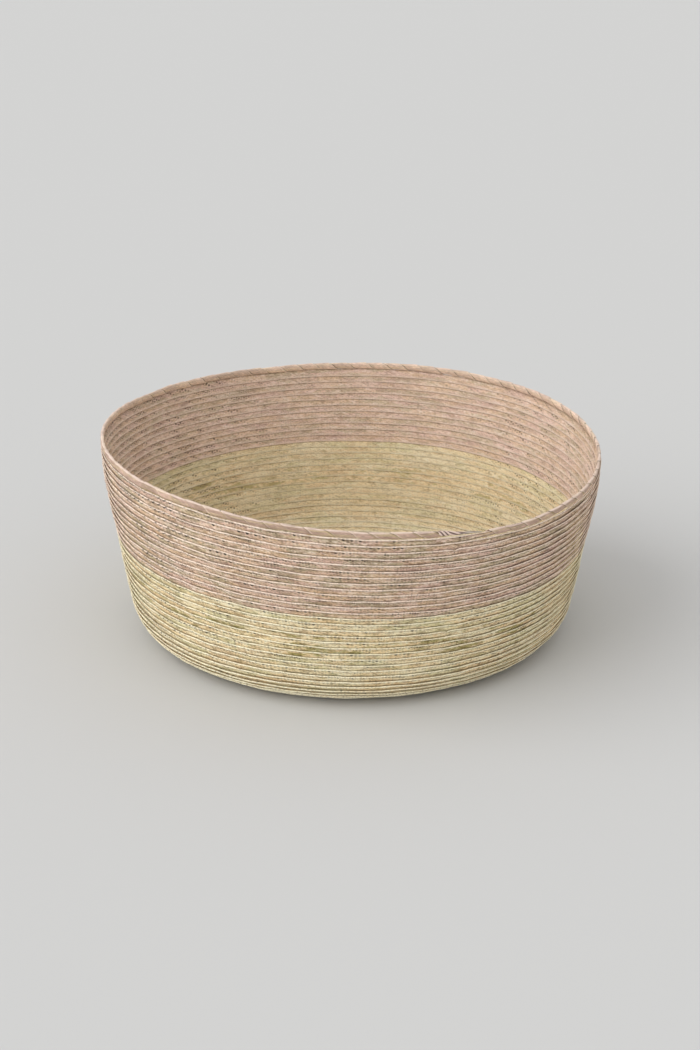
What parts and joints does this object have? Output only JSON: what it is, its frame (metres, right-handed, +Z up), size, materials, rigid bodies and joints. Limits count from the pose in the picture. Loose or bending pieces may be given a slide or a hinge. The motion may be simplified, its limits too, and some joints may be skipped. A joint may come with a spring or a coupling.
{
  "type": "round basket",
  "caption": "Low round open basket of spirally sewn palm-leaf plait, with a flat base, rounded heel, flared wall that stands upright at the top, and overcast rim, for bread, fruit or small things.",
  "frame": {"origin": "centre of the basket on the surface it stands on", "axes": "+Z up out of the mouth, -Y towards the viewer of the picture, +X to the viewer's right; the spiral ends at the front right, 68 degrees clockwise from +X"},
  "size_m": [0.2761, 0.2762, 0.114],
  "materials": {
    "natural_plait": "matt natural palm leaf in cream, tan and green, with a faint sheen on the leaf skin",
    "mauve_plait": "matt palm leaf dyed a dusty mauve, uneven from strand to strand",
    "rim_strip": "satin strip of mauve-dyed palm leaf wound over the top round"
  },
  "bodies": {
    "root": {"base_plait": "natural_plait", "heel_plait": "natural_plait", "natural_wall_plait_low": "natural_plait", "natural_wall_plait_high": "natural_plait", "mauve_plait_low": "mauve_plait", "mauve_plait_high": "mauve_plait", "rim_wrap_1": "rim_strip", "rim_wrap_2": "rim_strip", "rim_wrap_3": "rim_strip", "rim_wrap_4": "rim_strip"}
  },
  "joints": []
}
